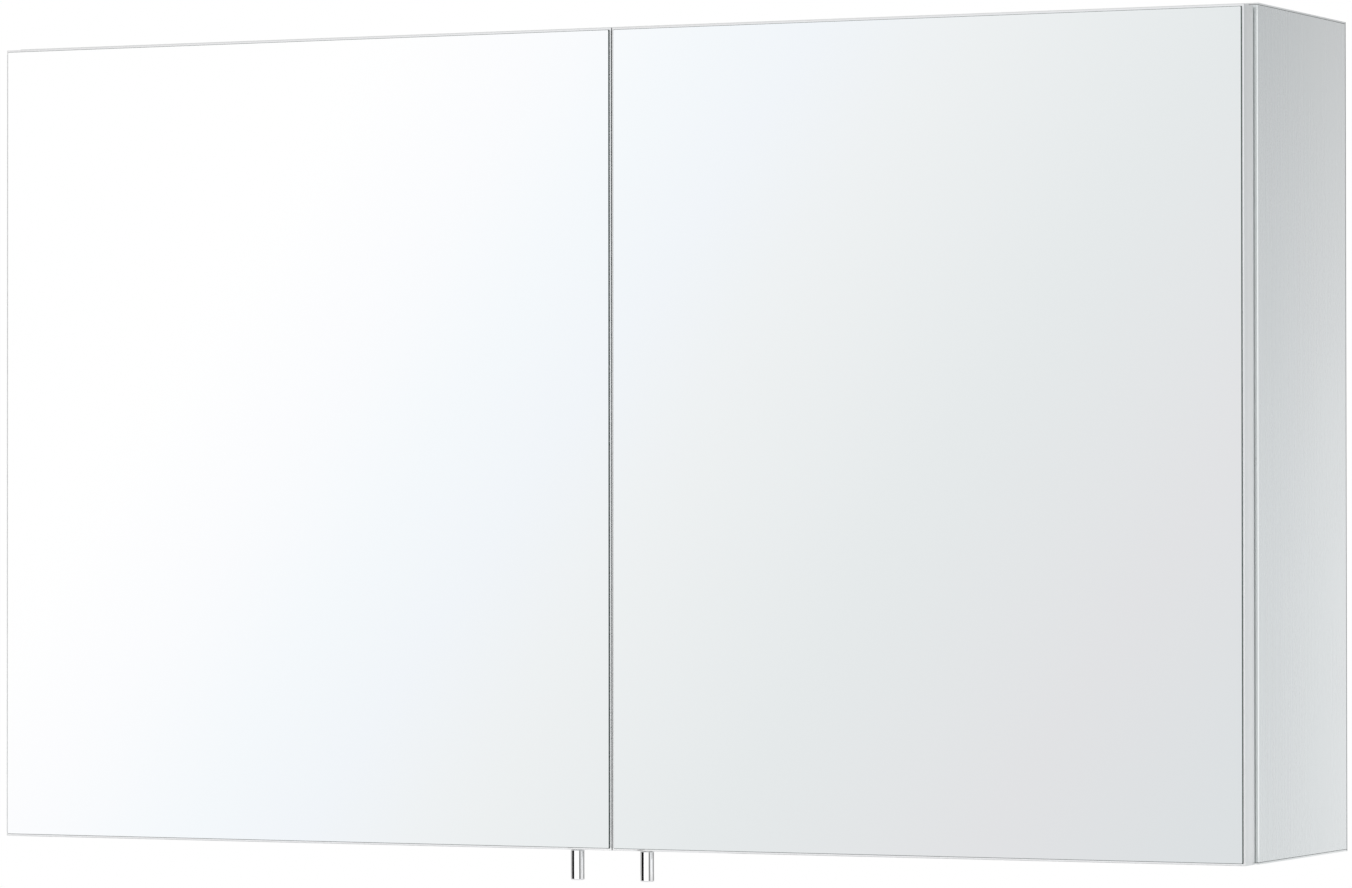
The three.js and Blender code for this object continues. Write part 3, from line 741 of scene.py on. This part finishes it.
def add_mirror(hand):
    node = f"{hand}_mirror_glass"
    (x0, y0, z0), (x1, y1, z1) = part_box(node)
    x0, x1, z0, z1 = x0 - MIRROR_SEAT, x1 + MIRROR_SEAT, z0 - MIRROR_SEAT, z1 + MIRROR_SEAT
    rings = ((y0, ARRIS), (y0 + ARRIS * 0.35, ARRIS * 0.3), (y0 + ARRIS, 0), (y1, 0))
    loops = [plate_loops(x0, x1, z0, z1, y, inset) for y, inset in rings]
    mesh = stacked(f"{hand}_mirror", loops, kinds=MIRROR_BANDS, smooth=False)
    names = ("mirror_silver", "mirror_arris", "mirror_edge", "mirror_back_paint")
    piece = add_piece(f"{hand}_mirror", mesh, names, f"{hand}_door")
    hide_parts(node)


HANDLE_CHAMFER = 0.0007
HANDLE_SHADOW_GAP = 0.0003  # between the handle's shoulder and the door
SPIGOT_RADIUS = 0.0015
AXIS = 0.0002  # the radius at which a turned piece's ends are closed


def add_handle(hand):
    node = f"{hand}_handle"
    (x0, y0, z0), (x1, y1, z1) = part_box(node)
    middle = Vector(((x0 + x1) / 2, (y0 + y1) / 2, z0))
    radius, tall = (x1 - x0) / 2, z1 - z0
    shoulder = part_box(f"{hand}_door_tray")[0].z - HANDLE_SHADOW_GAP - z0
    profile = (
        (AXIS, 0, 0),
        (radius - HANDLE_CHAMFER, 0, 0.0003),
        (radius, HANDLE_CHAMFER, 0.0003),
        (radius, shoulder, 0.0002),
        (SPIGOT_RADIUS, shoulder, 0),
        (SPIGOT_RADIUS, tall, 0.0003),
        (AXIS, tall, 0),
    )
    mesh = turned(f"{hand}_pull", profile, 96)
    piece = add_piece(f"{hand}_pull", mesh, ("chrome_handle",), f"{hand}_door",
                      Matrix.Translation(middle))
    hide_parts(node)


SHELF_ROUND = 0.0008
SHELF_FLAT = 0.0014  # from here inward the faces are shaded flat
SHELF_CORNER = 0.004
SHELF_BANDS = (0, 0, 1, 1, 1, 1, 1, 0, 0)  # clear face, ground edge, clear face


def add_shelf(bay, height):
    node = f"glass_shelf_{bay}_{height}"
    (x0, y0, z0), (x1, y1, z1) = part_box(node)
    corners = ((x0, y0, 1, 1), (x1, y0, -1, 1), (x1, y1, -1, -1), (x0, y1, 1, -1))

    def loop(inset, z):
        radius = SHELF_CORNER - inset
        pulled = [(x + sx * inset, y + sy * inset, radius) for x, y, sx, sy in corners]
        return [(x, y, z) for x, y in filleted(pulled, 6)]

    r = SHELF_ROUND
    rise = ((SHELF_FLAT, 0), (r, 0), (r * 0.3, r * 0.3), (0, r))
    loops = [loop(inset, z0 + up) for inset, up in rise]
    loops += [loop(inset, z1 - up) for inset, up in reversed(rise)]
    mesh = stacked(f"shelf_{bay}_{height}", loops, kinds=SHELF_BANDS, sharp=50)
    names = ("shelf_clear", "shelf_edge")
    piece = add_piece(f"shelf_{bay}_{height}", mesh, names, "cabinet")
    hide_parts(node)


PIN_STUB = 0.008  # how deep a pin sits in the panel


def pin_mesh():
    """Lengths in millimetres from the panel's skin: a stub, a collar and a rest with a round end."""
    profile = [
        (0.2, -8, 0), (1.9, -8, 0), (2.3, -7.5, 0), (2.3, 0.3, 0), (4.4, 0.3, 0.15), (4.4, 1.3, 0.3),
        (3.2, 1.3, 0), (3.2, 8.3, 0), (2.9, 9.0, 0.4), (2.2, 9.2, 0.2), (0.2, 9.2, 0),
    ]
    return turned("shelf_pin", [(a / 1000, b / 1000, r / 1000) for a, b, r in profile], 40)


def add_shelf_pins():
    mesh = pin_mesh()
    for name in sorted(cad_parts):
        if not name.startswith("shelf_pin_"):
            continue
        low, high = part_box(name)
        inward = 1 if name.endswith("_a") else -1
        wall = low.x + PIN_STUB if inward > 0 else high.x - PIN_STUB
        at = Vector((wall, (low.y + high.y) / 2, (low.z + high.z) / 2))
        short = name.replace("shelf_pin", "pin")
        aim = facing((inward, 0, 0), at)
        piece = add_piece(short, mesh, ("chrome_pin",), "cabinet", aim)
        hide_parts(name)


# ---- fasteners ----------------------------------------------------------------------------------


def polar(radius, angle, z):
    return (radius * math.cos(angle), radius * math.sin(angle), z)


def cross_radius(angle, half_width, reach):
    """How far a cross-shaped recess reaches at an angle."""
    fold = abs((angle + math.pi / 4) % (math.pi / 2) - math.pi / 4)
    side = math.sin(fold)
    tip = reach / math.cos(fold)
    return min(tip, half_width / side) if side > 1e-6 else tip


def screw_mesh(name, radius, tall, flat=False):
    """A cross-recessed head. flat is a countersunk head that lies nearly level with its plate."""
    half_width, reach = radius * 0.15, radius * 0.6
    corner = math.atan(half_width / reach)
    quadrant = [0, corner / 2, corner, corner * 1.6, math.radians(35), math.radians(45)]
    quadrant += [math.pi / 2 - a for a in reversed(quadrant[1:-1])]
    angles = [a + q * math.pi / 2 for q in range(4) for a in quadrant]
    if flat:
        rings = ((0.86, -0.25), (1.0, 0.0), (0.985, 0.6), (0.95, 1.0), (0.75, 1.0))
    else:
        rings = ((1.0, 0.0), (1.0, 0.25), (0.965, 0.55), (0.86, 0.8), (0.7, 1.0))
    loops = [[polar(radius * share, a, tall * height) for a in angles] for share, height in rings]
    for share, height in ((1.0, tall), (0.86, tall - radius * 0.45), (0.12, tall - radius * 0.55)):
        loops.append([polar(cross_radius(a, half_width, reach) * share, a, height) for a in angles])
    return stacked(name, loops, sharp=35)


def rivet_mesh(name, radius, tall):
    profile = (
        (AXIS / 2, 0, 0),
        (radius, 0, 0),
        (radius, tall * 0.3, 0),
        (radius * 0.8, tall * 0.85, radius * 0.1),
        (radius * 0.4, tall, radius * 0.1),
        (AXIS / 2, tall, 0),
    )
    return turned(name, profile, 32, 60)


def fasten(prefix, mesh, spots, direction, body):
    for number, spot in enumerate(spots, 1):
        add_piece(f"{prefix}_{number}", mesh, ("screw_steel",), body, facing(direction, spot))


PLATE_SCREWS = (0.026, 0.0165)  # behind a hinge plate's front edge, and above and below its middle
ARM_SCREWS = (0.007, 0.027)  # in front of a hinge arm's rear edge
RIVETS_IN = (0.009, 0.0255)  # inward from a hinge bracket's outer edge
RIVETS_APART = 0.015  # above and below its middle


def plate_screws(screw, hand, side, height):
    low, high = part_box(f"{hand}_hinge_plate_{height}")
    face = low.x if side > 0 else high.x
    behind, apart = PLATE_SCREWS
    middle = (low.z + high.z) / 2
    spots = [(face, low.y + behind, middle + dz) for dz in (-apart, apart)]
    prefix = f"{hand}_hinge_plate_screw_{height}"
    fasten(prefix, screw, spots, (-side, 0, 0), "cabinet")


def arm_screws(screw, hand, side, height):
    plate_low, plate_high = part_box(f"{hand}_hinge_plate_{height}")
    low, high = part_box(f"{hand}_hinge_arm_{height}")
    face = low.x if side > 0 else high.x
    spots = [(face, high.y - back, (plate_low.z + plate_high.z) / 2) for back in ARM_SCREWS]
    prefix = f"{hand}_hinge_arm_screw_{height}"
    fasten(prefix, screw, spots, (-side, 0, 0), "cabinet")


def bracket_rivets(rivet, hand, side, height):
    plate_low, plate_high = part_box(f"{hand}_hinge_plate_{height}")
    middle = (plate_low.z + plate_high.z) / 2
    low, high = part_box(f"{hand}_hinge_bracket_{height}")
    outer = high.x if side > 0 else low.x
    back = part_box(f"{hand}_door_tray")[1].y
    spots = [
        (outer - side * inward, back, middle + dz)
        for inward in RIVETS_IN
        for dz in (-RIVETS_APART, RIVETS_APART)
    ]
    prefix = f"{hand}_hinge_rivet_{height}"
    fasten(prefix, rivet, spots, (0, 1, 0), f"{hand}_door")


def hinge_fasteners():
    plate_screw = screw_mesh("plate_screw", 0.0042, 0.0016)
    arm_screw = screw_mesh("arm_screw", 0.0036, 0.0012)
    rivet = rivet_mesh("door_rivet", 0.0026, 0.0009)
    for hand, side in HANDS.items():
        for height in LEVELS:
            plate_screws(plate_screw, hand, side, height)
            arm_screws(arm_screw, hand, side, height)
            bracket_rivets(rivet, hand, side, height)


CATCH_SCREW_INSET = 0.0042
POLE_PLATES = (0.32, 0.68)  # shares of the catch's width


def catch_details():
    screw = screw_mesh("catch_screw", 0.003, 0.001)
    for hand, side in HANDS.items():
        low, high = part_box(f"{hand}_magnetic_catch")
        face = high.x if side > 0 else low.x
        y = (low.y + high.y) / 2
        spots = [(face, y, z) for z in (low.z + CATCH_SCREW_INSET, high.z - CATCH_SCREW_INSET)]
        fasten(f"{hand}_catch_screw", screw, spots, (side, 0, 0), "cabinet")
        for number, share in enumerate(POLE_PLATES, 1):
            add_pole_plate(f"{hand}_pole_plate_{number}", low.x + share * (high.x - low.x), low.y)


def add_pole_plate(name, x, front):
    """One of the two steel plates that carry a catch's pull to the door."""
    half, tall, proud, r = 0.0007, 0.012, 0.0003, 0.0002
    rings = ((front - proud, r), (front - proud + r, 0), (front + 0.002, 0))
    loops = [plate_loops(x - half, x + half, -tall, tall, y, inset, 0.0004, 2) for y, inset in rings]
    add_piece(name, stacked(name, loops), ("nickel_hinge",), "cabinet")


BACK_SCREW_INSET = 0.008
BACK_SCREWS_ALONG = (0.04, 0.27, 0.5, 0.73, 0.96)  # shares of the back panel's width
BACK_SCREWS_UP = (0.3, 0.5, 0.7)  # shares of its height
HANGER_RIVET_INSET = 0.007


def back_screws():
    screw = screw_mesh("back_screw", 0.0034, 0.0004, True)
    low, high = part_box("back_panel")
    inset = BACK_SCREW_INSET
    spots = []
    for share in BACK_SCREWS_ALONG:
        x = low.x + share * (high.x - low.x)
        spots += [(x, high.y, low.z + inset), (x, high.y, high.z - inset)]
    for share in BACK_SCREWS_UP:
        z = low.z + share * (high.z - low.z)
        spots += [(low.x + inset, high.y, z), (high.x - inset, high.y, z)]
    fasten("back_screw", screw, spots, (0, 1, 0), "cabinet")


def hanger_rivets():
    rivet = rivet_mesh("hanger_rivet", 0.003, 0.0008)
    inset = HANGER_RIVET_INSET
    for hand in HANDS:
        low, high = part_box(f"{hand}_hanger_plate")
        xs, zs = (low.x + inset, high.x - inset), (low.z + inset, high.z - inset)
        spots = [(x, low.y, z) for x in xs for z in zs]
        fasten(f"{hand}_hanger_rivet", rivet, spots, (0, -1, 0), "cabinet")


# ---- everything ---------------------------------------------------------------------------------


def build():
    add_camera()
    make_world()
    add_floor()
    add_soft_light()
    add_handle_cards()
    add_edge_cards()
    make_materials()
    dress_nodes()
    for hand in HANDS:
        add_mirror(hand)
        add_handle(hand)
        for height in LEVELS:
            add_shelf(hand, height)
    add_shelf_pins()
    hinge_fasteners()
    catch_details()
    back_screws()
    hanger_rivets()


build()
